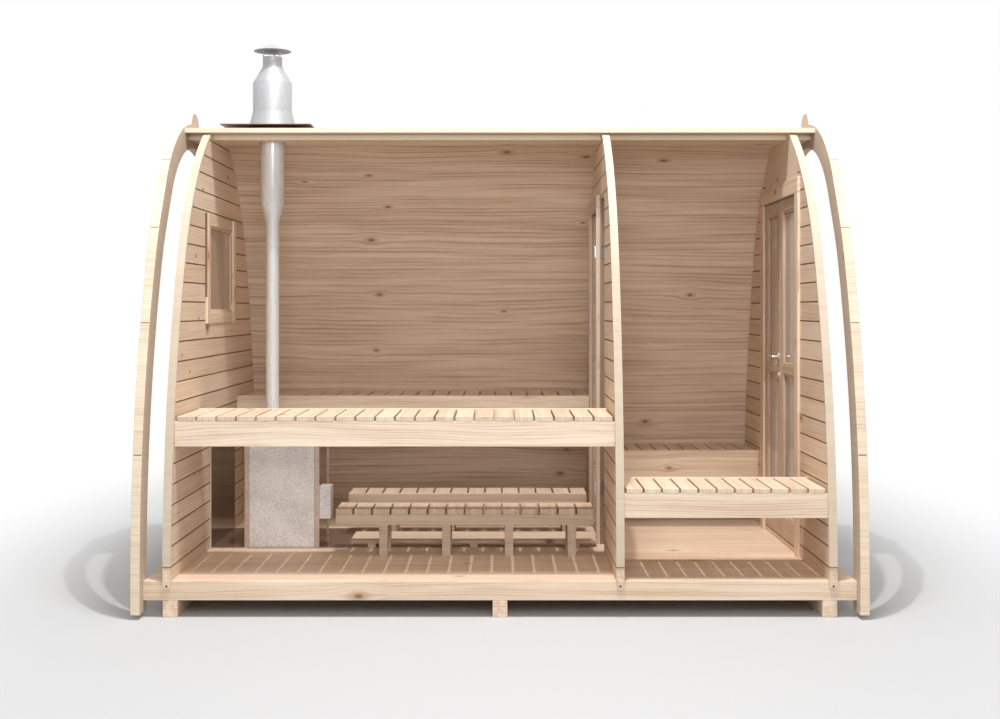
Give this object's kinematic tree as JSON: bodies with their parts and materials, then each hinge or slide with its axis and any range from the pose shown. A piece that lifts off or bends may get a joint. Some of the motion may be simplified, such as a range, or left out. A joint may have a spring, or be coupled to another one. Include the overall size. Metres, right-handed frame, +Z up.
{
  "type": "cutaway sauna pod",
  "caption": "Cutaway arched sauna pod on sleepers, near long wall left off, with sauna and changing rooms, slatted benches, stove, chimney and hinged glazed doors.",
  "frame": {"origin": "on the ground under the middle of the ridge, at the centre of the overall box", "axes": "+X along the ridge towards the entrance, +Y towards the closed long side, +Z up"},
  "size_m": [3.444, 2.37, 2.911],
  "materials": {
    "timber": "pale planed spruce",
    "slat_timber": "pale planed spruce, sanded",
    "arch_timber": "laminated spruce",
    "glass": "clear",
    "chimney_metal": "satin grey",
    "stove_steel": "brushed",
    "fittings": "brushed",
    "roof_plate_sheet": "brown coated sheet",
    "heat_plate": "dark enamel"
  },
  "bodies": {
    "pod": {"sleepers": "timber", "floor_joists": "timber", "floor_edge_boards": "timber", "floor_deck": "timber", "window_wall": "timber", "window_casing": "timber", "window_glass": "glass", "partition_sides": "timber", "partition_top": "timber", "sauna_door_frame": "timber", "sauna_side_panel": "timber", "entrance_wall_sides": "timber", "entrance_wall_top": "timber", "entrance_casing": "timber", "entrance_sill": "timber", "far_wall": "timber", "far_roof": "timber", "ridge_board": "timber", "ridge_beam": "timber", "arch_left": "arch_timber", "arch_right": "arch_timber", "upper_bench_near_slats": "slat_timber", "upper_bench_far_slats": "slat_timber", "upper_bench_boards": "timber", "changing_bench_near_slats": "slat_timber", "changing_bench_far_slats": "slat_timber", "changing_bench_boards": "timber", "low_bench_near_slats": "slat_timber", "low_bench_far_slats": "slat_timber", "low_bench_frames": "timber", "foot_board": "slat_timber", "stove_heat_plates": "heat_plate", "stove_body": "stove_steel", "stove_side_box": "stove_steel", "flue_pipe": "chimney_metal", "roof_plate": "roof_plate_sheet", "chimney": "chimney_metal", "chimney_cap": "chimney_metal", "sauna_door_hinges": "fittings", "entrance_hinges": "fittings"},
    "entrance_leaf_near": {"entrance_leaf_near_frame": "timber", "entrance_leaf_near_glass": "glass", "entrance_leaf_near_fittings": "fittings"},
    "entrance_leaf_far": {"entrance_leaf_far_frame": "timber", "entrance_leaf_far_glass": "glass", "entrance_leaf_far_fittings": "fittings"},
    "sauna_door": {"sauna_door_glass": "glass", "sauna_door_fittings": "fittings"}
  },
  "joints": [
    {"name": "entrance_leaf_near_swing", "type": "hinge", "parent": "pod", "child": "entrance_leaf_near", "pos_m": [1.601, -0.4185, 0], "axis": [0, 0, -1], "range_deg": [0, 90]},
    {"name": "entrance_leaf_far_swing", "type": "hinge", "parent": "pod", "child": "entrance_leaf_far", "pos_m": [1.601, 0.4185, 0], "axis": [0, 0, 1], "range_deg": [0, 90]},
    {"name": "sauna_door_swing", "type": "hinge", "parent": "pod", "child": "sauna_door", "pos_m": [0.591, -0.0535, 0], "axis": [0, 0, -1], "range_deg": [0, 90]}
  ]
}
